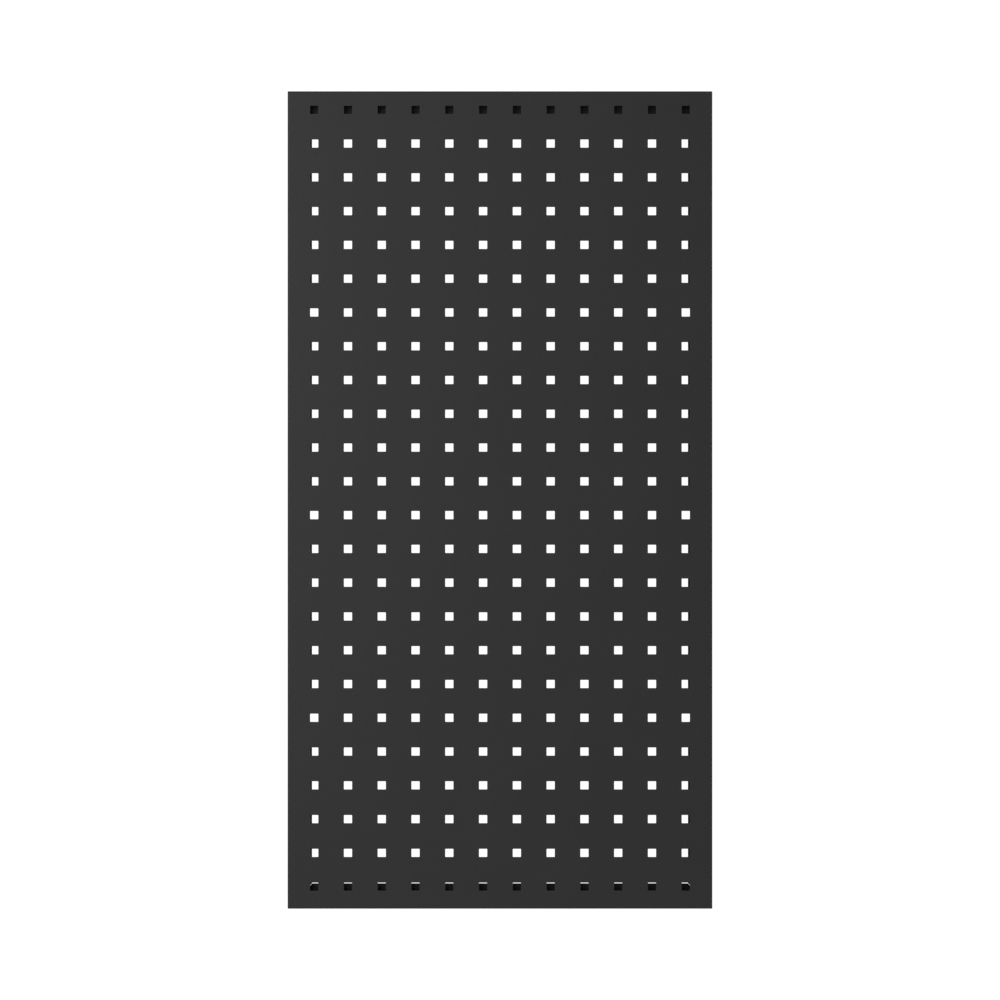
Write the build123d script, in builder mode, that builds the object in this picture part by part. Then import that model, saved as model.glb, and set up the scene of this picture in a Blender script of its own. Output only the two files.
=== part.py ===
"""Perforated back panel for gondola shelving: one folded sheet-steel pan, with threaded clinch
nuts pressed into its side flanges.

Frame: the origin is the centre of the rear plane, where the panel meets what it is fixed to.
+X is to the right seen from the front, +Y to the rear and +Z up, so the face looks along -Y.
All sizes are in millimetres.
"""

import os

from build123d import *

# Perforation: square holes on a square pitch.
PITCH = 38.0
COLUMNS = 12
ROWS = 24
HOLE_SIZE = 9.2

# From the outermost hole centres to the panel's outer faces.
SIDE_MARGIN = 30.0
TOP_MARGIN = 21.0
BOTTOM_MARGIN = 25.0

# The folded edge: the face turns back into a flange, and the flange turns in to a return lip.
SHEET = 1.2
DEPTH = 18.0
BEND_INSIDE_R = 0.8
LIP_REACH = 26.4  # from the flange's outer face to the lip's free edge
MITRE_GAP = 0.3
MITRE_OVERRUN = 1.0

# Notches in the side lips, with a nut behind each of them in the side flange.
NUT_ROWS = {"upper": 7, "middle": 13, "lower": 19}  # hole rows, counted from 1 at the top
NOTCH_DEPTH = 6.0
NOTCH_HEIGHT = 20.0
NOTCH_CORNER_R = 3.0

# M6 closed-end clinch nut: its shank fills the seat in the flange, and its body stands inside.
NUT_BORE_R = 2.5
NUT_BORE_LENGTH = 8.0  # from the shank's outer end to the blind bottom
NUT_BODY_R = 5.5
NUT_BODY_LENGTH = 8.8
NUT_SHANK_R = 4.36
NUT_SHANK_LENGTH = 1.15
NUT_BODY_CHAMFER = 0.5
NUT_LEAD_IN = 0.5
NUT_SEAT_R = 4.375

# Worked out from the sizes above.
WIDTH = (COLUMNS - 1) * PITCH + 2 * SIDE_MARGIN
HEIGHT = (ROWS - 1) * PITCH + TOP_MARGIN + BOTTOM_MARGIN
BEND_OUTSIDE_R = BEND_INSIDE_R + SHEET
GRID_CENTRE_Z = (BOTTOM_MARGIN - TOP_MARGIN) / 2
NUT_Y = -DEPTH / 2
NUT_HEIGHTS = {
    name: HEIGHT / 2 - TOP_MARGIN - (row - 1) * PITCH for name, row in NUT_ROWS.items()
}

REAR_PLANE = Plane.XZ  # its normal points to the front
FACE_BACK_PLANE = REAR_PLANE.offset(DEPTH - SHEET)
SIDES = {"left": -1, "right": 1}


def folded_box(width, depth, height, bend_r):
    """A box centred on the pan's middle, rounded along every edge that a fold runs along."""
    with BuildPart() as box:
        with Locations((0, -DEPTH / 2, 0)):
            Box(width, depth, height)
        fillet(box.edges().filter_by(Axis.X) + box.edges().filter_by(Axis.Z), bend_r)
    return box.part


def mitre_slots(start, end):
    """Thin slots on the pan's diagonals, from one distance inside its outer sides to another."""
    middle = (start + end) / 2
    length = (end - start) * 2**0.5
    for right in (-1, 1):
        for up in (-1, 1):
            corner = (right * (WIDTH / 2 - middle), up * (HEIGHT / 2 - middle))
            with Locations(Location((*corner, 0), (0, 0, 45 * right * up))):
                Rectangle(length, MITRE_GAP)


def folded_pan():
    """The bent sheet: face, four flanges and four mitred return lips."""
    hollow = folded_box(WIDTH - 2 * SHEET, DEPTH - 2 * SHEET, HEIGHT - 2 * SHEET, BEND_INSIDE_R)
    with BuildPart() as pan:
        add(folded_box(WIDTH, DEPTH, HEIGHT, BEND_OUTSIDE_R))
        add(hollow, mode=Mode.SUBTRACT)

        # The open back between the lips.
        with BuildSketch(REAR_PLANE):
            Rectangle(WIDTH - 2 * LIP_REACH, HEIGHT - 2 * LIP_REACH)
        extrude(amount=SHEET, mode=Mode.SUBTRACT)

        # The folds part at the corners: through lips and flanges, then out of the face's bends.
        with BuildSketch(REAR_PLANE):
            mitre_slots(-MITRE_OVERRUN, LIP_REACH + MITRE_OVERRUN)
        extrude(amount=DEPTH - SHEET, mode=Mode.SUBTRACT)
        with BuildSketch(FACE_BACK_PLANE):
            mitre_slots(-MITRE_OVERRUN, BEND_OUTSIDE_R)
        extrude(amount=SHEET, mode=Mode.SUBTRACT)
    return pan.part


def clinch_nut(side, height):
    """One nut, seated against the inside of a side flange with its shank flush outside."""
    seat = Plane(
        origin=(side * (WIDTH / 2 - SHEET), NUT_Y, height), x_dir=(0, 1, 0), z_dir=(side, 0, 0)
    )
    with BuildPart(seat) as nut:
        Cylinder(NUT_BODY_R, NUT_BODY_LENGTH, align=(Align.CENTER, Align.CENTER, Align.MAX))
        inner_end = nut.faces().sort_by(Axis.X)[0 if side > 0 else -1]
        chamfer(inner_end.edges(), NUT_BODY_CHAMFER)
        Cylinder(NUT_SHANK_R, NUT_SHANK_LENGTH, align=(Align.CENTER, Align.CENTER, Align.MIN))
        with Locations((0, 0, NUT_SHANK_LENGTH)):
            Hole(NUT_BORE_R, depth=NUT_BORE_LENGTH)
        outer_end = nut.faces().sort_by(Axis.X)[-1 if side > 0 else 0]
        chamfer(outer_end.inner_wires()[0].edges(), NUT_LEAD_IN)
    return nut.part


os.makedirs("parts", exist_ok=True)

# The pan, with its perforation, lip notches and nut seats.
with BuildPart() as perforated_panel:
    add(folded_pan())
    with BuildSketch(FACE_BACK_PLANE):
        with Locations((0, GRID_CENTRE_Z)):
            with GridLocations(PITCH, PITCH, COLUMNS, ROWS):
                Rectangle(HOLE_SIZE, HOLE_SIZE)
    extrude(amount=SHEET, mode=Mode.SUBTRACT)

    notches = [
        (side * (WIDTH / 2 - LIP_REACH), height)
        for side in SIDES.values()
        for height in NUT_HEIGHTS.values()
    ]
    with BuildSketch(REAR_PLANE):
        with Locations(*notches):
            RectangleRounded(2 * NOTCH_DEPTH, NOTCH_HEIGHT, NOTCH_CORNER_R)
    extrude(amount=SHEET, mode=Mode.SUBTRACT)

    with BuildSketch(Plane.YZ):
        with Locations(*((NUT_Y, height) for height in NUT_HEIGHTS.values())):
            Circle(NUT_SEAT_R)
    extrude(amount=WIDTH / 2, both=True, mode=Mode.SUBTRACT)

perforated_panel.part.label = "perforated_panel"
export_step(perforated_panel.part, "parts/perforated_panel.step")

# The clinch nuts, three to a side.
for side_name, side in SIDES.items():
    for level, height in NUT_HEIGHTS.items():
        nut = clinch_nut(side, height)
        nut.label = f"clinch_nut_{side_name}_{level}"
        export_step(nut, f"parts/{nut.label}.step")
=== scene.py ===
"""Perforated back panel for gondola shelving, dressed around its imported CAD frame.

The panel is one folded steel sheet in charcoal powder coat, with closed-end clinch nuts in its
side flanges. It faces -Y, its rear plane is y = 0, and +Z is up. Sizes are in millimetres until a
mesh is made, and Blender's are in metres.
"""

import logging
import math
from dataclasses import dataclass, field
from enum import Enum

import bmesh
import bpy
import numpy as np
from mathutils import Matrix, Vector

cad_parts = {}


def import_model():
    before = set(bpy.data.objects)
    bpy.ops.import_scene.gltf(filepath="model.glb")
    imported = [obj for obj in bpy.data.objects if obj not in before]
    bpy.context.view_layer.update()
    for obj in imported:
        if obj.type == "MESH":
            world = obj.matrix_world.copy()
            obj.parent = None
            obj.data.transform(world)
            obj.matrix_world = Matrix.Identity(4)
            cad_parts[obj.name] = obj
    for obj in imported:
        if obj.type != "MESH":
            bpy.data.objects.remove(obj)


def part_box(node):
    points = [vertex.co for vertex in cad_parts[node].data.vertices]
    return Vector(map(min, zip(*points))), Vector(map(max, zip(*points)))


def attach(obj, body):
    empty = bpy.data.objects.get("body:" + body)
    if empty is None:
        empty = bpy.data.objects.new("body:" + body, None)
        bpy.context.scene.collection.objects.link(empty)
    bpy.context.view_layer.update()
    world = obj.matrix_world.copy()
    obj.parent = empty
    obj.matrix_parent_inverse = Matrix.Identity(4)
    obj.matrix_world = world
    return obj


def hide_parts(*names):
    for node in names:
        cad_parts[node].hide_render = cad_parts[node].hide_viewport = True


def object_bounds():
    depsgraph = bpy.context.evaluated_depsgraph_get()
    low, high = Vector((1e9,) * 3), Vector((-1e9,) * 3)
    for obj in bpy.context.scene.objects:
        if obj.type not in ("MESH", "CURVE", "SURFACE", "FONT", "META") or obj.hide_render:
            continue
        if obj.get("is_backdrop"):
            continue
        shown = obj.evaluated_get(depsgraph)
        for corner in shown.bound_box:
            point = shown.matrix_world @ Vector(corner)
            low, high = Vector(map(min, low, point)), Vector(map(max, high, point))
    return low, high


MM = 0.001
ROOT_BODY = "root"
WELD_MM = 0.004  # points nearer than this are one point
CELL_STRIPS = 3  # between the seam lines across a cell: beside its hole, over it and beside it
WAVE_RATE = 20 / math.tau  # how many waves the wave texture fits in one unit at a scale of 1

log = logging.getLogger("panel")


class Edge(Enum):
    """The four folded edges of the pan."""

    TOP = "top"
    BOTTOM = "bottom"
    LEFT = "left"
    RIGHT = "right"


class Side(Enum):
    """The two sides that carry nuts, by the sign of x."""

    LEFT = -1
    RIGHT = 1


class Shading(Enum):
    """How a finished mesh is shaded, by the angle in degrees past which an edge is sharp."""

    FLAT_FACES_LEAD = 75.0
    SMOOTH = 40.0


# ---------------------------------------------------------------------------------------------
# Meshes
# ---------------------------------------------------------------------------------------------


@dataclass
class MeshParts:
    """Points and faces gathered patch by patch, then joined into one closed mesh."""

    points: list[np.ndarray] = field(default_factory=list)
    faces: list[list[int]] = field(default_factory=list)
    wear: list[np.ndarray] = field(default_factory=list)
    count: int = 0

    def add_points(self, points: np.ndarray, wear: np.ndarray | float = 0.0) -> np.ndarray:
        """Add points and return their numbers, in the shape of the array without its last axis.

        Args:
            points: positions in mm, any shape ending in 3.
            wear: how far the coat is rubbed, 0 to 1, in any shape that spreads over the points.

        Returns:
            The new points' numbers.
        """
        shape = points.shape[:-1]
        size = int(np.prod(shape))
        self.points.append(points.reshape(-1, 3))
        self.wear.append(np.broadcast_to(wear, shape).reshape(-1))
        numbers = np.arange(self.count, self.count + size).reshape(shape)
        self.count += size
        return numbers

    def add_grid(self, numbers: np.ndarray, closed: bool = False, keep: np.ndarray | None = None) -> None:
        """Add the quads of a grid of points.

        Each quad joins (i, j), (i, j + 1), (i + 1, j + 1) and (i + 1, j).

        Args:
            numbers: the grid's point numbers; leading axes beyond the last two are repeats.
            closed: whether the last column joins the first.
            keep: which columns of quads to keep, or None for all.
        """
        ahead = np.roll(numbers, -1, axis=-1)
        quads = np.stack(
            [numbers[..., :-1, :], ahead[..., :-1, :], ahead[..., 1:, :], numbers[..., 1:, :]], axis=-1
        )
        if not closed:
            quads = quads[..., :-1, :]
        if keep is not None:
            quads = quads[..., keep, :]
        self.faces.extend(quads.reshape(-1, 4).tolist())

    def add_polygon(self, *runs: np.ndarray) -> None:
        """Add one flat face, whose corners are these runs of point numbers one after another."""
        self.faces.append(np.concatenate(runs).tolist())

    def to_object(self, name: str, shading: Shading) -> bpy.types.Object:
        """Join the patches where they meet and make the object, in metres.

        Args:
            name: the object's and its mesh's name.
            shading: how its faces are shaded.

        Returns:
            The new object, linked to the scene.
        """
        mesh = bpy.data.meshes.new(name)
        points = np.concatenate(self.points) * MM
        mesh.from_pydata(points.tolist(), [], self.faces)
        worn = mesh.attributes.new("edge_wear", "FLOAT", "POINT")
        worn.data.foreach_set("value", np.concatenate(self.wear).astype(np.float32))
        soup = bmesh.new()
        soup.from_mesh(mesh)
        bmesh.ops.remove_doubles(soup, verts=soup.verts, dist=WELD_MM * MM)
        bmesh.ops.recalc_face_normals(soup, faces=soup.faces)
        loose = sum(1 for edge in soup.edges if not edge.is_manifold)
        soup.to_mesh(mesh)
        soup.free()
        mesh.shade_smooth()
        mesh.set_sharp_from_angle(angle=math.radians(shading.value))
        piece = bpy.data.objects.new(name, mesh)
        bpy.context.scene.collection.objects.link(piece)
        if shading is Shading.FLAT_FACES_LEAD:
            weighted = piece.modifiers.new("flat_faces_lead", "WEIGHTED_NORMAL")
            weighted.mode = "FACE_AREA"
            weighted.weight = 100
            weighted.keep_sharp = True
        log.info("%s: %d faces, %d open edges", name, len(mesh.polygons), loose)
        return piece


def arc(radius: float, start: float, end: float, steps: int) -> np.ndarray:
    """Points on a circle about the origin.

    Args:
        radius: the circle's radius in mm.
        start: first angle in degrees, from +x towards +y.
        end: last angle in degrees.
        steps: how many chords.

    Returns:
        An array (steps + 1, 2): radius times (cosine, sine) of evenly spaced angles.
    """
    angles = np.radians(np.linspace(start, end, steps + 1))
    return radius * np.stack([np.cos(angles), np.sin(angles)], axis=-1)


def four_turns(quarter: np.ndarray) -> np.ndarray:
    """Make a whole outline from a quarter of it.

    Args:
        quarter: the first quarter's points, (n, 2).

    Returns:
        An array (4 n, 2): the quarter, then its turns about the origin by 90, 180 and 270 degrees.
    """
    x, y = quarter[:, 0], quarter[:, 1]
    turns = [(x, y), (-y, x), (-x, -y), (y, -x)]
    return np.concatenate([np.stack(turn, axis=-1) for turn in turns])


# ---------------------------------------------------------------------------------------------
# The pan
# ---------------------------------------------------------------------------------------------


@dataclass(frozen=True)
class Fold:
    """Where one folded edge runs, and where the seams that the face's cells hand on cross it."""

    edge: Edge
    half: float  # half the pan's outer length along this edge
    centres: np.ndarray  # of the holes along it
    lines: np.ndarray  # the seam lines' positions along it, from one bend line to the other
    cells: np.ndarray  # the number of the first seam line of each cell that carries a nut

    def cell_middles(self) -> np.ndarray:
        """How far along the edge the middle of each cell that carries a nut is."""
        return (self.lines[self.cells] + self.lines[self.cells + CELL_STRIPS]) / 2

    def plain(self) -> np.ndarray:
        """Find the strips between seam lines that are outside the cells that carry a nut.

        Returns:
            For each strip whether it is, (n - 1,) for n seam lines.
        """
        strips = np.ones(len(self.lines) - 1, bool)
        strips[self.cells[:, None] + np.arange(CELL_STRIPS)] = False
        return strips


@dataclass
class PerforatedPan:
    """The folded sheet: perforated face, four flanges and four mitred return lips."""

    low: Vector
    high: Vector
    pitch: float = 38.0
    columns: int = 12
    rows: int = 24
    top_margin: float = 21.0
    hole_size: float = 9.2
    hole_corner: float = 0.5
    front_rim: float = 0.25  # the punch draws the face in, and the coat rounds it
    back_rim: float = 0.12
    sheet: float = 1.2
    bend_inside: float = 0.8
    bend_steps: int = 6
    lip_reach: float = 26.4
    lip_edge_round: float = 0.15
    mitre_gap: float = 0.3
    mitre_steps: int = 2  # of the front bend, over which the mitre opens
    notch_depth: float = 6.0
    notch_height: float = 20.0
    notch_corner: float = 3.0
    notch_steps: int = 5
    seat_radius: float = 4.375
    seat_chords: int = 24
    fixing_rows: tuple[int, ...] = (7, 13, 19)  # counted from the top
    rim_wear: float = 1.0  # how far the coat is rubbed, 0 to 1, here and below
    wall_wear: tuple[float, float] = (0.5, 0.8)  # at the front and the back of a hole's wall
    flange_wear: float = 0.12
    flange_wear_reach: float = 0.6  # in from the flange, in bend radii
    lip_edge_wear: float = 0.9
    half_width: float = field(init=False)
    half_height: float = field(init=False)
    front: float = field(init=False)
    rear: float = field(init=False)
    bend_outside: float = field(init=False)
    hole_flat: float = field(init=False)  # from a hole's middle to where its corners start

    def __post_init__(self) -> None:
        """Take the outer sizes from the CAD box, and work out the sizes that follow."""
        self.half_width = (self.high.x - self.low.x) / 2 / MM
        self.half_height = (self.high.z - self.low.z) / 2 / MM
        self.front = self.low.y / MM
        self.rear = self.high.y / MM
        self.bend_outside = self.bend_inside + self.sheet
        self.hole_flat = self.hole_size / 2 - self.hole_corner

    def column_centres(self) -> np.ndarray:
        """x of each column of holes: evenly spaced about the middle."""
        return (np.arange(self.columns) - (self.columns - 1) / 2) * self.pitch

    def row_centres(self) -> np.ndarray:
        """z of each row of holes, from the top row down."""
        return self.half_height - self.top_margin - np.arange(self.rows) * self.pitch

    def fixing_heights(self) -> np.ndarray:
        """z of the notches and the nuts."""
        return self.row_centres()[np.array(self.fixing_rows) - 1]

    def rounded_square(self, half: float) -> np.ndarray:
        """Twelve points of a square with this half side, whose corners are arcs from hole_flat on."""
        # a corner is (hole_flat + r cos t, hole_flat + r sin t) at 0, 45 and 90 degrees
        return four_turns(self.hole_flat + arc(half - self.hole_flat, 0, 90, 2))

    def cell_square(self) -> np.ndarray:
        """The cell's outline, with a point opposite each point of the hole's outline."""
        half = self.pitch / 2
        return four_turns(np.array([[half, self.hole_flat], [half, half], [self.hole_flat, half]]))

    def add_field(self, parts: MeshParts) -> None:
        """Add the perforated field: one ring of quads per hole, repeated at every row and column.

        A hole's surface is a stack of outlines: the cell's edge on the face, the softened front
        rim as a quarter circle in depth, the wall, the back rim, and the cell's edge behind.

        Args:
            parts: the mesh that it goes into.
        """
        half, back = self.hole_size / 2, self.front + self.sheet
        lean = self.front_rim * (1 - math.sqrt(0.5))  # half way round the quarter circle
        wall_front, wall_back = self.wall_wear
        rings = [
            (self.cell_square(), self.front, 0.0),
            (self.rounded_square(half + self.front_rim), self.front, 0.0),
            (self.rounded_square(half + lean), self.front + lean, self.rim_wear),
            (self.rounded_square(half), self.front + self.front_rim, wall_front),
            (self.rounded_square(half), back - self.back_rim, wall_back),
            (self.rounded_square(half + self.back_rim), back, 0.0),
            (self.cell_square(), back, 0.0),
        ]
        stack = np.stack([np.insert(loop, 1, y, axis=-1) for loop, y, _ in rings])
        x, z = np.meshgrid(self.column_centres(), self.row_centres())
        centres = np.stack([x.ravel(), np.zeros(x.size), z.ravel()], axis=-1)
        wear = np.array([[worn] for _, _, worn in rings])
        parts.add_grid(parts.add_points(stack + centres[:, None, None, :], wear), closed=True)

    def seam_lines(self, centres: np.ndarray, half: float) -> np.ndarray:
        """Find where the cells' outline points stand along a side.

        Args:
            centres: the holes' centres along the side.
            half: half the pan's outer length along it.

        Returns:
            Positions (n,) in rising order, with the two bend lines as the first and the last.
        """
        bend = half - self.bend_outside
        offsets = np.array([-self.pitch / 2, -self.hole_flat, self.hole_flat, self.pitch / 2])
        lines = np.concatenate([[-bend, bend], (centres[:, None] + offsets).ravel()])
        return np.unique(lines.round(6))  # rounded, so that lines that coincide are one

    def add_margins(self, parts: MeshParts, x_lines: np.ndarray, z_lines: np.ndarray) -> None:
        """Add the plain strips between the field and the bend lines, on the face and behind it.

        There is none at the top, where the field runs up to the bend line.

        Args:
            parts: the mesh that they go into.
            x_lines: the seam lines across the face.
            z_lines: the seam lines up the face.
        """
        strips = [(x_lines[:2], z_lines), (x_lines[-2:], z_lines), (x_lines[1:-1], z_lines[:2])]
        for y in (self.front, self.front + self.sheet):
            for x_part, z_part in strips:
                x, z = np.meshgrid(x_part, z_part)
                parts.add_grid(parts.add_points(np.stack([x, np.full_like(x, y), z], axis=-1)))

    def fold_profile(self, radius: float) -> np.ndarray:
        """One face of the folded sheet in section.

        Both bends are quarter circles about centres one outside radius in from the faces, and
        the flange is the straight line between them.

        Args:
            radius: the outside bend radius for the outer face, the inside one for the inner.

        Returns:
            An array (n, 2) of (distance in from the flange, y).
        """
        bend = self.bend_outside
        front = arc(radius, 270, 180, self.bend_steps) + [bend, self.front + bend]
        rear = arc(radius, 180, 90, self.bend_steps) + [bend, self.rear - bend]
        return np.concatenate([front, rear])

    def along(self, fold: Fold, ends: np.ndarray) -> np.ndarray:
        """Carry the seam lines along a fold, squeezed towards the mitres at its two ends.

        Between the outermost cells' inner sides a line stays where it is. Beyond, its distance is
        scaled so that the last line falls on the mitre.

        Args:
            fold: the folded edge.
            ends: how far from the middle each row of points meets the mitre, (m,).

        Returns:
            Positions along the edge, (m, n) for n seam lines.
        """
        low_stop = fold.centres.min() + self.pitch / 2
        high_stop = fold.centres.max() - self.pitch / 2
        stop = np.where(fold.lines < 0, -low_stop, high_stop)
        past = np.maximum(np.abs(fold.lines) - stop, 0)
        scale = (ends[:, None] - stop) / (fold.half - self.bend_outside - stop)
        return np.sign(fold.lines) * (np.minimum(np.abs(fold.lines), stop) + past * scale)

    def place(
        self, edge: Edge, s: np.ndarray, inward: np.ndarray | float, y: np.ndarray | float
    ) -> np.ndarray:
        """Turn a fold's own coordinates into the pan's.

        Args:
            edge: which fold.
            s: positions along the edge.
            inward: distances in from the flange's outer face.
            y: depths.

        Returns:
            Points as x, y, z, in the shape that the three spread to, with a last axis of 3.
        """
        s, inward, y = np.broadcast_arrays(s, inward, y)
        across = {
            Edge.TOP: (s, self.half_height - inward),
            Edge.BOTTOM: (s, inward - self.half_height),
            Edge.RIGHT: (self.half_width - inward, s),
            Edge.LEFT: (inward - self.half_width, s),
        }
        x, z = across[edge]
        return np.stack([x, y, z], axis=-1)

    def free_edge(self, fold: Fold, s: np.ndarray) -> tuple[np.ndarray, np.ndarray, np.ndarray]:
        """The lip's free edge as a line in its own plane, with a notch in each cell with a nut.

        The line runs straight at the lip's reach. In such a cell it turns in at half the notch's
        height, follows a quarter circle into the notch's bottom, and comes back out the same way.
        The notch takes the place of the cell's two middle points.

        Args:
            fold: the folded edge.
            s: positions of the seam lines at the free edge.

        Returns:
            Points (k, 2) as (along, inward); the directions into the metal there, (k, 2); and the
            number of each seam line's point.
        """
        half, corner = self.notch_height / 2, self.notch_corner
        bottom = self.lip_reach - self.notch_depth + corner
        turn = arc(1.0, 180, 270, self.notch_steps)
        back = turn[::-1] * [-1, 1]
        notch = np.concatenate([
            [[-half, self.lip_reach]],
            corner * turn + [corner - half, bottom],
            corner * back + [half - corner, bottom],
            [[half, self.lip_reach]],
        ])
        notch_into = np.concatenate([[[-1, -1]], turn, back, [[1, -1]]])

        line = np.stack([s, np.full_like(s, self.lip_reach)], axis=-1)
        into = np.broadcast_to([0.0, -1.0], line.shape).copy()
        into[[0, -1], 0] = -1.0, 1.0  # the two ends follow the mitre's diagonal
        counts = np.ones(len(s), int)
        counts[fold.cells] += len(notch)
        counts[fold.cells[:, None] + np.arange(1, CELL_STRIPS)] = 0
        numbers = np.cumsum(counts) - counts

        kept, nuts = counts > 0, len(fold.cells)
        after = numbers[fold.cells] - len(notch) * np.arange(nuts) + 1
        spots = np.repeat(after, len(notch))
        shifts = np.stack([fold.cell_middles(), np.zeros(nuts)], axis=-1)
        notches = (notch + shifts[:, None, :]).reshape(-1, 2)
        line = np.insert(line[kept], spots, notches, axis=0)
        into = np.insert(into[kept], spots, np.tile(notch_into, (nuts, 1)), axis=0)
        return line, into, numbers

    def add_fold(self, parts: MeshParts, edge: Edge, lines: np.ndarray) -> None:
        """Add one folded edge, from the face's bend line to the lip's free edge and back.

        The fold's section is carried along the edge as whole rows of points. Its ends are cut on
        the corner's diagonal and capped. The mitre opens from nothing at the face's bend line to
        its whole gap a little way round the bend, and is even from there on.

        Args:
            parts: the mesh that it goes into.
            edge: which fold.
            lines: the seam lines along it.
        """
        if edge in (Edge.LEFT, Edge.RIGHT):
            starts = np.sort(self.fixing_heights()) - self.pitch / 2
            cells = np.abs(lines - starts[:, None]).argmin(axis=1)
            fold = Fold(edge, self.half_height, self.row_centres(), lines, cells)
        else:
            fold = Fold(edge, self.half_width, self.column_centres(), lines, np.array([], int))
        setback = self.mitre_gap / math.sqrt(2)  # along the edge, for half the gap
        outline = self.fold_profile(self.bend_outside)
        opening = setback * np.minimum(np.arange(len(outline)) / self.mitre_steps, 1)
        rubbed = outline[:, :1] < self.bend_outside * self.flange_wear_reach
        faces = []
        for radius, worn in ((self.bend_outside, self.flange_wear), (self.bend_inside, 0.0)):
            section = self.fold_profile(radius)
            s = self.along(fold, fold.half - section[:, 0] - opening)
            points = self.place(edge, s, section[:, :1], section[:, 1:])
            faces.append(parts.add_points(points, np.where(rubbed, worn, 0.0)))

        flange = self.bend_steps
        for numbers in faces:
            parts.add_grid(numbers[: flange + 1])
            parts.add_grid(numbers[flange : flange + 2], keep=fold.plain())
            parts.add_grid(numbers[flange + 1 :])
        self.add_seats(parts, fold, [numbers[flange : flange + 2] for numbers in faces])
        self.add_lip(parts, fold, faces, fold.half - self.lip_reach - setback)

    def add_seats(self, parts: MeshParts, fold: Fold, flange: list[np.ndarray]) -> None:
        """Add the flange round each nut's seat: two flat pieces, each cut to half a circle, and a wall.

        Args:
            parts: the mesh that they go into.
            fold: the folded edge.
            flange: numbers (2, n) of the flange's front and rear rows, on its outer face and inner.
        """
        ring = arc(self.seat_radius, 0, 360, self.seat_chords)[:-1]
        middle = (self.front + self.rear) / 2
        half = self.seat_chords // 2
        for cell, height in zip(fold.cells, fold.cell_middles(), strict=True):
            walls = []
            for (front, rear), inward in zip(flange, (0.0, self.sheet), strict=True):
                circle = self.place(fold.edge, height + ring[:, 0], inward, middle + ring[:, 1])
                wall = parts.add_points(circle)
                walls.append(wall)
                across = slice(cell, cell + CELL_STRIPS + 1)
                near, far = front[across], rear[across]
                first = np.roll(wall, -1)
                second = np.roll(first, -half)
                parts.add_polygon(near, far[-1:], second[half::-1])
                parts.add_polygon(far[::-1], near[:1], first[half::-1])
            parts.add_grid(np.stack(walls), closed=True)

    def add_lip(self, parts: MeshParts, fold: Fold, faces: list[np.ndarray], end: float) -> None:
        """Add one return lip: its two flat faces, its rounded free edge and the mitre's caps.

        Args:
            parts: the mesh that it goes into.
            fold: the folded edge.
            faces: numbers (m, n) of the fold's rows of points, on its outer face and inner.
            end: how far from the middle the free edge meets the mitre.
        """
        s = self.along(fold, np.array([end]))[0]
        line, into, of_line = self.free_edge(fold, s)
        soft = line + self.lip_edge_round * into
        front = self.rear - self.sheet
        rows = [
            (soft, self.rear, 0.0),
            (line, self.rear - self.lip_edge_round, self.lip_edge_wear),
            (line, front + self.lip_edge_round, self.lip_edge_wear),
            (soft, front, 0.0),
        ]
        points = np.stack([self.place(fold.edge, row[:, 0], row[:, 1], y) for row, y, _ in rows])
        rim = parts.add_points(points, np.array([[worn] for _, _, worn in rows]))
        parts.add_grid(rim)
        for numbers, free in zip(faces, (rim[0], rim[-1]), strict=True):
            bend = numbers[-1]
            parts.add_grid(np.stack([bend, free[of_line]]), keep=fold.plain())
            for cell in fold.cells:
                notched = free[of_line[cell] : of_line[cell + CELL_STRIPS] + 1]
                parts.add_polygon(bend[cell : cell + CELL_STRIPS + 1], notched[::-1])
        outer, inner = faces
        for k in (0, -1):
            parts.add_grid(np.stack([outer[:, k], inner[:, k]]))
            parts.add_polygon(outer[-1:, k], rim[[0, -1], k], inner[-1:, k])
            parts.add_polygon(rim[:, k])

    def build(self) -> bpy.types.Object:
        """Make the whole pan.

        Returns:
            One closed mesh.
        """
        parts = MeshParts()
        x_lines = self.seam_lines(self.column_centres(), self.half_width)
        z_lines = self.seam_lines(self.row_centres(), self.half_height)
        self.add_field(parts)
        self.add_margins(parts, x_lines, z_lines)
        for edge in Edge:
            self.add_fold(parts, edge, z_lines if edge in (Edge.LEFT, Edge.RIGHT) else x_lines)
        return parts.to_object("folded_perforated_sheet", Shading.FLAT_FACES_LEAD)


# ---------------------------------------------------------------------------------------------
# The nuts
# ---------------------------------------------------------------------------------------------


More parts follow.
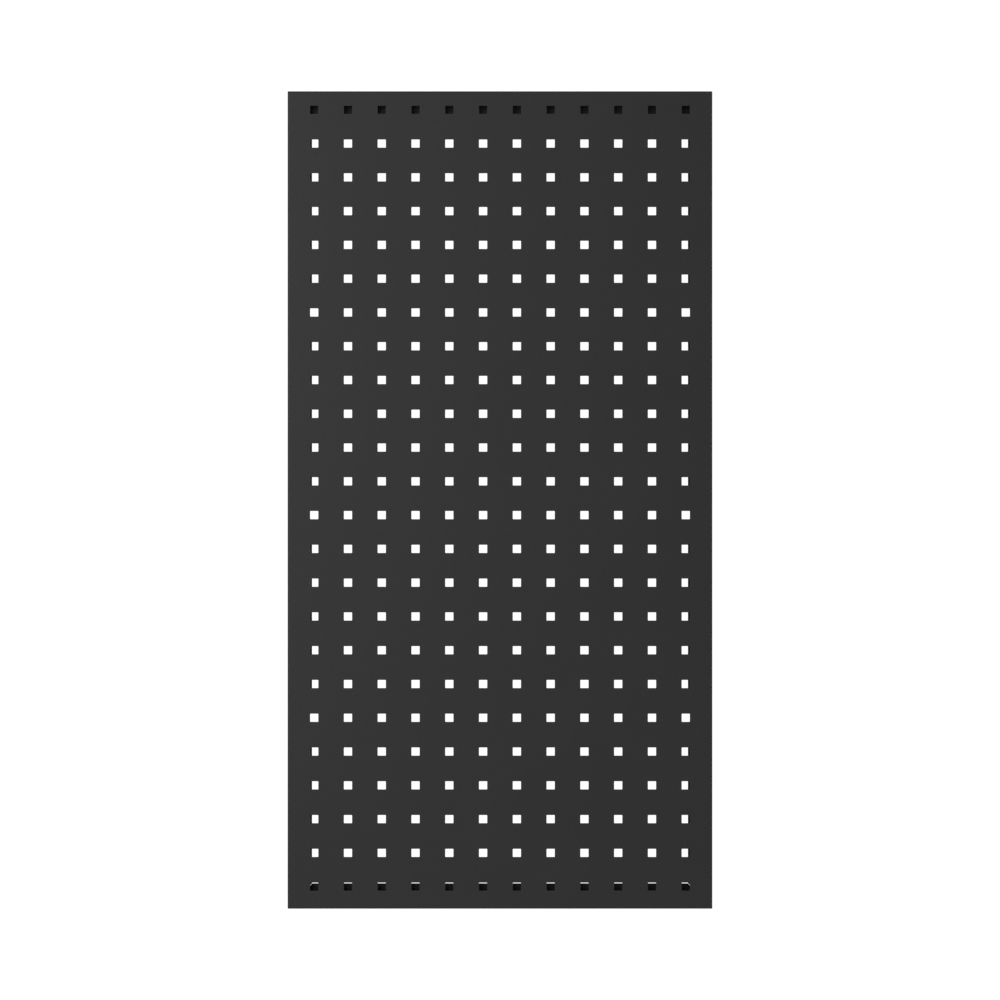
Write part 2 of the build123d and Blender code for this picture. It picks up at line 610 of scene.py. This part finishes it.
@dataclass
class ClinchNut:
    """A closed-end M6 clinch nut, turned about the x axis, with a real thread in its bore."""

    node: str
    side: Side
    seat_x: float  # the flange's inner face
    middle_y: float
    height: float
    body_radius: float = 5.5
    body_length: float = 8.8
    body_chamfer: float = 0.5
    edge_round: float = 0.15
    chamfer_round: float = 0.06
    root_round: float = 0.05
    groove: tuple[float, float] = (0.85, 1.5)  # from the seat, turned round the body
    groove_depth: float = 0.2
    pip_radius: float = 0.8  # the recess that parting off leaves in the closed end
    pip_depth: float = 0.25
    shank_radius: float = 4.36
    shank_length: float = 1.15
    bore_radius: float = 2.5
    lead_in: float = 0.5
    thread_depth: float = 0.5
    thread_pitch: float = 1.0
    thread_flat: float = 0.115  # of a pitch, at the thread's root and at its crest
    thread_steps: int = 8  # rings of points to a pitch
    thread_fades: tuple[float, float] = (0.6, 0.8)  # pitches to full depth, at the mouth and the end
    thread_length: float = 5.6  # past the seat
    drill_length: float = 7.9  # past the seat
    drill_point: float = 118.0  # degrees
    chords: int = 40

    def section(self) -> tuple[np.ndarray, np.ndarray]:
        """The nut's outline from the middle of its closed end to the drill's tip in the bore.

        Returns:
            Points (n, 2) as (outwards along the axis from the seat, radius), and how deep the
            thread is cut at each, 0 to 1.
        """
        body, shank, bore = self.body_radius, self.shank_radius, self.bore_radius
        end, mouth = -self.body_length, self.shank_length
        soft, ease, root = self.edge_round, self.chamfer_round, self.root_round
        chamfer, lead, groove_bottom = self.body_chamfer, self.lead_in, body - self.groove_depth
        pip, pip_floor = self.pip_radius, end + self.pip_depth
        near, far = self.groove
        outside = [
            (pip_floor, 0.0), (pip_floor, pip), (end, pip + self.pip_depth), (end, body - chamfer - soft),
            (end + ease, body - chamfer), (end + chamfer, body - ease), (end + chamfer + soft, body),
            (-far, body), (soft - far, groove_bottom), (-near - soft, groove_bottom), (-near, body),
            (-soft, body), (0.0, body - soft), (0.0, shank + root), (root, shank),
            (mouth - soft, shank), (mouth, shank - soft), (mouth, bore + lead + ease),
            (mouth - root, bore + lead), (mouth - lead, bore),
        ]
        step = self.thread_pitch / self.thread_steps
        rings = np.arange(mouth - lead - step, -self.thread_length, -step)
        fade_in, fade_out = self.thread_fades
        grow = (mouth - lead - rings) / (fade_in * self.thread_pitch)
        shrink = (rings + self.thread_length) / (fade_out * self.thread_pitch)
        cone = bore / math.tan(math.radians(self.drill_point / 2))
        drill = [(cone - self.drill_length, bore), (-self.drill_length, 0.0)]
        outline = np.concatenate([outside, np.stack([rings, np.full_like(rings, bore)], axis=-1), drill])
        cut = np.zeros(len(outline))
        cut[len(outside) : -len(drill)] = np.clip(np.minimum(grow, shrink), 0, 1)
        return outline, cut

    def build(self) -> bpy.types.Object:
        """Make the nut: its outline turned about the axis, with the bore's radius cut by a helix.

        The helix adds to the radius by a triangle wave of (distance along / pitch - turn), cut
        flat for about an eighth of a pitch at its root and its crest, as an M6 thread is.

        Returns:
            One closed mesh.
        """
        outline, cut = self.section()
        turn = np.arange(self.chords) / self.chords
        axial = np.broadcast_to(outline[:, :1], (len(outline), self.chords))
        phase = (axial / self.thread_pitch - turn) % 1.0
        slope_width = 0.5 - self.thread_flat
        wave = np.clip((0.5 - self.thread_flat / 2 - np.abs(phase - 0.5)) / slope_width, 0, 1)
        radius = outline[:, 1:] + self.thread_depth * cut[:, None] * wave
        angle = math.tau * turn
        points = np.stack([
            self.seat_x + self.side.value * axial,
            self.middle_y + radius * np.cos(angle),
            self.height + radius * np.sin(angle),
        ], axis=-1)
        parts = MeshParts()
        parts.add_grid(parts.add_points(points), closed=True)
        return parts.to_object(f"{self.node}_turned", Shading.SMOOTH)


# ---------------------------------------------------------------------------------------------
# Finishes
# ---------------------------------------------------------------------------------------------


def linear(code: str) -> tuple[float, float, float, float]:
    """Turn an sRGB colour to linear.

    Args:
        code: the colour as # and six hex digits.

    Returns:
        Linear red, green and blue, and a full alpha.
    """
    values = np.array([int(code[k : k + 2], 16) for k in (1, 3, 5)]) / 255
    # the standard curve: a short straight line, then a power
    red, green, blue = np.where(values <= 0.04045, values / 12.92, ((values + 0.055) / 1.055) ** 2.4)
    return float(red), float(green), float(blue), 1.0


def grey(value: float) -> tuple[float, float, float, float]:
    """A linear grey with a full alpha."""
    return value, value, value, 1.0


def per_metre(size_mm: float) -> float:
    """The noise scale whose features are this many millimetres across, on metre coordinates."""
    return 1000 / size_mm


def new_material(name: str) -> tuple[bpy.types.Material, bpy.types.NodeTree]:
    """Make an empty node material.

    Args:
        name: the material's name.

    Returns:
        The material and its node tree.
    """
    material = bpy.data.materials.new(name)
    material.use_nodes = True
    material.node_tree.nodes.clear()
    return material, material.node_tree


def add_node(
    tree: bpy.types.NodeTree, kind: str, settings: dict[str, object] | None = None, **inputs: object
) -> bpy.types.Node:
    """Add a shader node.

    Args:
        tree: the node tree it goes into.
        kind: its bl_idname.
        settings: properties to set on the node itself.
        inputs: for each input, by its name with spaces as underscores or its number after "n",
            either a value or an output socket to link from.

    Returns:
        The new node.
    """
    node = tree.nodes.new(kind)
    for name, value in (settings or {}).items():
        setattr(node, name, value)
    for name, value in inputs.items():
        numbered = name[0] == "n" and name[1:].isdigit()
        socket = node.inputs[int(name[1:])] if numbered else node.inputs[name.replace("_", " ")]
        if isinstance(value, bpy.types.NodeSocket):
            tree.links.new(value, socket)
        else:
            socket.default_value = value
    return node


@dataclass(frozen=True)
class PowderCoat:
    """Satin charcoal polyester powder coat, sprayed on steel and baked.

    It gives the eye a nearly even dark grey with a soft sheen: the powder melts to a faint orange
    peel about 2 mm across, with a finer leathery grain in it, and it thins on punched rims and
    bends, where rubbing leaves it a little paler.
    """

    name: str = "charcoal_powder_coat"
    colour: str = "#2d2d2d"
    colour_paler: str = "#2f2f2f"
    rubbed: str = "#505152"
    roughness: float = 0.46
    roughness_spread: float = 0.03  # either way, from patch to patch
    ior: float = 1.5
    patch_mm: float = 90.0
    peel_mm: float = 2.2
    grain_mm: float = 0.7  # twice the real grain, so that it shows
    scuff_mm: float = 6.0
    speckle: float = 0.14  # how much paler or darker the grain is, either way
    patch_range: tuple[float, float] = (0.3, 0.7)  # of the noise, from one look to the other
    grain_range: tuple[float, float] = (0.35, 0.65)
    scuff_range: tuple[float, float] = (0.42, 0.62)
    grain_height: float = 0.6  # of the peel's
    relief_mm: float = 0.11
    relief_strength: float = 0.9

    def make(self) -> bpy.types.Material:
        """Build the finish.

        Returns:
            The node material.
        """
        material, tree = new_material(self.name)
        place = add_node(tree, "ShaderNodeTexCoord").outputs["Object"]
        patch = add_node(
            tree, "ShaderNodeTexNoise", Vector=place, Scale=per_metre(self.patch_mm), Detail=4.0
        ).outputs["Fac"]
        peel = add_node(
            tree, "ShaderNodeTexNoise", Vector=place, Scale=per_metre(self.peel_mm), Detail=2.0
        ).outputs["Fac"]
        grain = add_node(
            tree, "ShaderNodeTexNoise", Vector=place, Scale=per_metre(self.grain_mm), Detail=2.0
        ).outputs["Fac"]
        scuff = add_node(
            tree, "ShaderNodeTexNoise", Vector=place, Scale=per_metre(self.scuff_mm), Detail=6.0
        ).outputs["Fac"]

        patch_low, patch_high = self.patch_range
        spread = add_node(
            tree, "ShaderNodeMapRange", Value=patch, From_Min=patch_low, From_Max=patch_high
        )
        base = add_node(
            tree, "ShaderNodeMix", {"data_type": "RGBA"},
            n0=spread.outputs["Result"], n6=linear(self.colour), n7=linear(self.colour_paler),
        )
        grain_low, grain_high = self.grain_range
        speck = add_node(
            tree, "ShaderNodeMapRange", Value=grain, From_Min=grain_low, From_Max=grain_high,
            To_Min=1 - self.speckle, To_Max=1 + self.speckle,
        )
        toned = add_node(
            tree, "ShaderNodeMix", {"data_type": "RGBA", "blend_type": "MULTIPLY"},
            n0=1.0, n6=base.outputs["Result"], n7=speck.outputs["Result"],
        )
        wear = add_node(tree, "ShaderNodeAttribute", {"attribute_name": "edge_wear"})
        scuff_low, scuff_high = self.scuff_range
        broken = add_node(
            tree, "ShaderNodeMapRange", Value=scuff, From_Min=scuff_low, From_Max=scuff_high
        )
        rubbed = add_node(
            tree, "ShaderNodeMath", {"operation": "MULTIPLY"},
            n0=wear.outputs["Fac"], n1=broken.outputs["Result"],
        )
        colour = add_node(
            tree, "ShaderNodeMix", {"data_type": "RGBA"},
            n0=rubbed.outputs["Value"], n6=toned.outputs["Result"], n7=linear(self.rubbed),
        )
        gloss = add_node(
            tree, "ShaderNodeMapRange", Value=patch, From_Min=patch_low, From_Max=patch_high,
            To_Min=self.roughness - self.roughness_spread, To_Max=self.roughness + self.roughness_spread,
        )
        heights = add_node(
            tree, "ShaderNodeMath", {"operation": "MULTIPLY_ADD"}, n0=grain, n1=self.grain_height, n2=peel
        )
        bump = add_node(
            tree, "ShaderNodeBump", Strength=self.relief_strength, Distance=self.relief_mm * MM,
            Height=heights.outputs["Value"],
        )
        shader = add_node(
            tree, "ShaderNodeBsdfPrincipled", Base_Color=colour.outputs["Result"],
            Roughness=gloss.outputs["Result"], IOR=self.ior, Normal=bump.outputs["Normal"],
        )
        add_node(tree, "ShaderNodeOutputMaterial", Surface=shader.outputs["BSDF"])
        return material


@dataclass(frozen=True)
class TurnedZinc:
    """Bright zinc plating over turned steel.

    It gives the eye a cool pale metal with fine rings left by the lathe and cloudy patches where
    the plating's passivation has dulled.
    """

    name: str = "bright_zinc_plated_steel"
    bright: str = "#cfd2d6"
    dull: str = "#a9adb4"
    roughness: float = 0.28
    dulling: float = 0.1  # how much rougher the dull patches are
    ring_mm: float = 0.35  # coarser than a real tool mark, so that it shows
    ring_wander: float = 0.6
    cloud_mm: float = 3.0
    cloud_range: tuple[float, float] = (0.35, 0.65)
    relief_mm: float = 0.02
    relief_strength: float = 0.25

    def make(self) -> bpy.types.Material:
        """Build the finish.

        Returns:
            The node material.
        """
        material, tree = new_material(self.name)
        place = add_node(tree, "ShaderNodeTexCoord").outputs["Object"]
        cloud = add_node(
            tree, "ShaderNodeTexNoise", Vector=place, Scale=per_metre(self.cloud_mm), Detail=5.0
        ).outputs["Fac"]
        low, high = self.cloud_range
        dulled = add_node(tree, "ShaderNodeMapRange", Value=cloud, From_Min=low, From_Max=high)
        colour = add_node(
            tree, "ShaderNodeMix", {"data_type": "RGBA"},
            n0=dulled.outputs["Result"], n6=linear(self.dull), n7=linear(self.bright),
        )
        rings = add_node(
            tree, "ShaderNodeTexWave", {"wave_type": "BANDS", "bands_direction": "X"}, Vector=place,
            Scale=per_metre(self.ring_mm) / WAVE_RATE, Distortion=self.ring_wander, Detail=2.0,
        )
        gloss = add_node(
            tree, "ShaderNodeMapRange", Value=cloud, From_Min=low, From_Max=high,
            To_Min=self.roughness + self.dulling, To_Max=self.roughness,
        )
        bump = add_node(
            tree, "ShaderNodeBump", Strength=self.relief_strength, Distance=self.relief_mm * MM,
            Height=rings.outputs["Fac"],
        )
        shader = add_node(
            tree, "ShaderNodeBsdfPrincipled", Base_Color=colour.outputs["Result"], Metallic=1.0,
            Roughness=gloss.outputs["Result"], Normal=bump.outputs["Normal"],
        )
        add_node(tree, "ShaderNodeOutputMaterial", Surface=shader.outputs["BSDF"])
        return material


@dataclass(frozen=True)
class FloorPaint:
    """Matt white floor paint, rolled on.

    It gives the eye an even pale ground with very faint clouds from the roller, which thins out
    with distance into the white surroundings.
    """

    name: str = "matt_white_floor_paint"
    dark: str = "#f6f6f5"
    pale: str = "#fafafa"
    roughness: float = 0.7
    cloud_mm: float = 500.0

    def make(self, plain: float, edge: float) -> bpy.types.Material:
        """Build the finish.

        Args:
            plain: how far from the middle it is whole, in metres.
            edge: how far from the middle it has gone.

        Returns:
            The node material.
        """
        material, tree = new_material(self.name)
        place = add_node(tree, "ShaderNodeTexCoord").outputs["Object"]
        cloud = add_node(
            tree, "ShaderNodeTexNoise", Vector=place, Scale=per_metre(self.cloud_mm), Detail=3.0
        )
        tone = add_node(
            tree, "ShaderNodeMix", {"data_type": "RGBA"},
            n0=cloud.outputs["Fac"], n6=linear(self.dark), n7=linear(self.pale),
        )
        flat = add_node(
            tree, "ShaderNodeVectorMath", {"operation": "MULTIPLY"}, n0=place, n1=(1.0, 1.0, 0.0)
        )
        radius = add_node(
            tree, "ShaderNodeVectorMath", {"operation": "LENGTH"}, n0=flat.outputs["Vector"]
        )
        fade = add_node(
            tree, "ShaderNodeMapRange", {"interpolation_type": "SMOOTHSTEP"},
            Value=radius.outputs["Value"], From_Min=plain, From_Max=edge, To_Min=1.0, To_Max=0.0,
        )
        shader = add_node(
            tree, "ShaderNodeBsdfPrincipled", Base_Color=tone.outputs["Result"],
            Roughness=self.roughness, Alpha=fade.outputs["Result"],
        )
        add_node(tree, "ShaderNodeOutputMaterial", Surface=shader.outputs["BSDF"])
        return material


# ---------------------------------------------------------------------------------------------
# Studio
# ---------------------------------------------------------------------------------------------


@dataclass(frozen=True)
class SoftBox:
    """A square soft light that looks at the origin and isn't seen itself."""

    name: str
    place: tuple[float, float, float]
    size: float
    watts: float

    def make(self) -> None:
        """Add the light."""
        data = bpy.data.lights.new(self.name, "AREA")
        data.shape = "SQUARE"
        data.size = self.size
        data.energy = self.watts
        light = bpy.data.objects.new(self.name, data)
        light.location = self.place
        light.rotation_euler = (-Vector(self.place)).to_track_quat("-Z", "Y").to_euler()
        light.visible_camera = False
        bpy.context.scene.collection.objects.link(light)


@dataclass
class Studio:
    """White surroundings, a pale floor, soft lights and a camera square to the face."""

    low: Vector
    high: Vector
    camera_distance: float = 3.10  # from the face
    view_width: float = 1.1248  # how much the view spans at the face
    sensor_mm: float = 36.0
    hang_height: float = 1.25  # from the floor to the panel's middle
    floor_radius: float = 3.2
    floor_plain: float = 0.6  # from here out the floor fades into the white surroundings
    floor_sides: int = 96
    surround: float = 0.315  # how strongly the surroundings light the object
    backdrop: float = 1.05  # how bright they look, which is white with a little to spare

    def camera(self) -> None:
        """Add the camera, level with the panel's middle."""
        data = bpy.data.cameras.new("camera")
        data.sensor_width = self.sensor_mm
        data.lens = self.sensor_mm * self.camera_distance / self.view_width
        camera = bpy.data.objects.new("camera", data)
        camera.location = (0.0, self.low.y - self.camera_distance, 0.0)
        camera.rotation_euler = (math.radians(90), 0.0, 0.0)
        bpy.context.scene.collection.objects.link(camera)
        bpy.context.scene.camera = camera

    def world(self) -> None:
        """Make the surroundings: white to look at, and a dimmer even light on the object."""
        world = bpy.data.worlds.new("studio")
        bpy.context.scene.world = world
        world.use_nodes = True
        tree = world.node_tree
        tree.nodes.clear()
        seen = add_node(tree, "ShaderNodeBackground", Color=grey(1.0), Strength=self.backdrop)
        light = add_node(tree, "ShaderNodeBackground", Color=grey(1.0), Strength=self.surround)
        path = add_node(tree, "ShaderNodeLightPath")
        mix = add_node(
            tree, "ShaderNodeMixShader", n0=path.outputs["Is Camera Ray"],
            n1=light.outputs["Background"], n2=seen.outputs["Background"],
        )
        add_node(tree, "ShaderNodeOutputWorld", Surface=mix.outputs["Shader"])

    def floor(self) -> None:
        """Add the pale floor, a disc under the hanging panel."""
        ring = arc(self.floor_radius, 0, 360, self.floor_sides)[:-1]
        points = np.insert(ring, 2, (self.low.z + self.high.z) / 2 - self.hang_height, axis=-1)
        mesh = bpy.data.meshes.new("floor")
        mesh.from_pydata(points.tolist(), [], [list(range(len(points)))])
        mesh.materials.append(FloorPaint().make(self.floor_plain, self.floor_radius))
        floor = bpy.data.objects.new("floor", mesh)
        bpy.context.scene.collection.objects.link(floor)
        floor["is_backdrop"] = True

    def lights(self) -> None:
        """Add a broad key from the front left, a weak fill from the right and a light on the back."""
        SoftBox("key", place=(-1.45, -2.4, 0.48), size=2.2, watts=19.3).make()
        SoftBox("fill", place=(2.6, -0.35, 0.3), size=1.4, watts=9.0).make()
        SoftBox("back", place=(1.45, 2.4, 0.1), size=2.2, watts=26.0).make()

    def build(self) -> None:
        """Make everything that isn't the panel."""
        bpy.context.scene.view_settings.view_transform = "Standard"
        self.camera()
        self.world()
        self.floor()
        self.lights()


# ---------------------------------------------------------------------------------------------
# The object
# ---------------------------------------------------------------------------------------------


@dataclass
class BackPanel:
    """The whole object: the pan and the nuts in its side flanges."""

    pan_node: str = "perforated_panel"
    levels: tuple[str, ...] = ("upper", "middle", "lower")

    def dress(self, piece: bpy.types.Object, material: bpy.types.Material, node: str) -> None:
        """Give a piece its material, hang it from the root body's empty, and hide the CAD node that it
        replaces.

        Args:
            piece: the finished piece.
            material: its material.
            node: the CAD node that it replaces.
        """
        piece.data.materials.append(material)
        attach(piece, ROOT_BODY)
        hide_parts(node)

    def build(self) -> None:
        """Make the pan and the nuts in place."""
        low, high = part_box(self.pan_node)
        pan = PerforatedPan(low, high)
        self.dress(pan.build(), PowderCoat().make(), self.pan_node)
        zinc = TurnedZinc().make()
        for side in Side:
            for level, height in zip(self.levels, pan.fixing_heights(), strict=True):
                node = f"clinch_nut_{side.name.lower()}_{level}"
                seat_x = side.value * (pan.half_width - pan.sheet)
                nut = ClinchNut(node, side, seat_x, (pan.front + pan.rear) / 2, float(height))
                self.dress(nut.build(), zinc, node)


def main() -> None:
    """Load the frame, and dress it."""
    logging.basicConfig(level=logging.INFO, format="%(name)s: %(message)s")
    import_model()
    low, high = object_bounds()
    BackPanel().build()
    Studio(low, high).build()


if __name__ == "__main__":
    main()
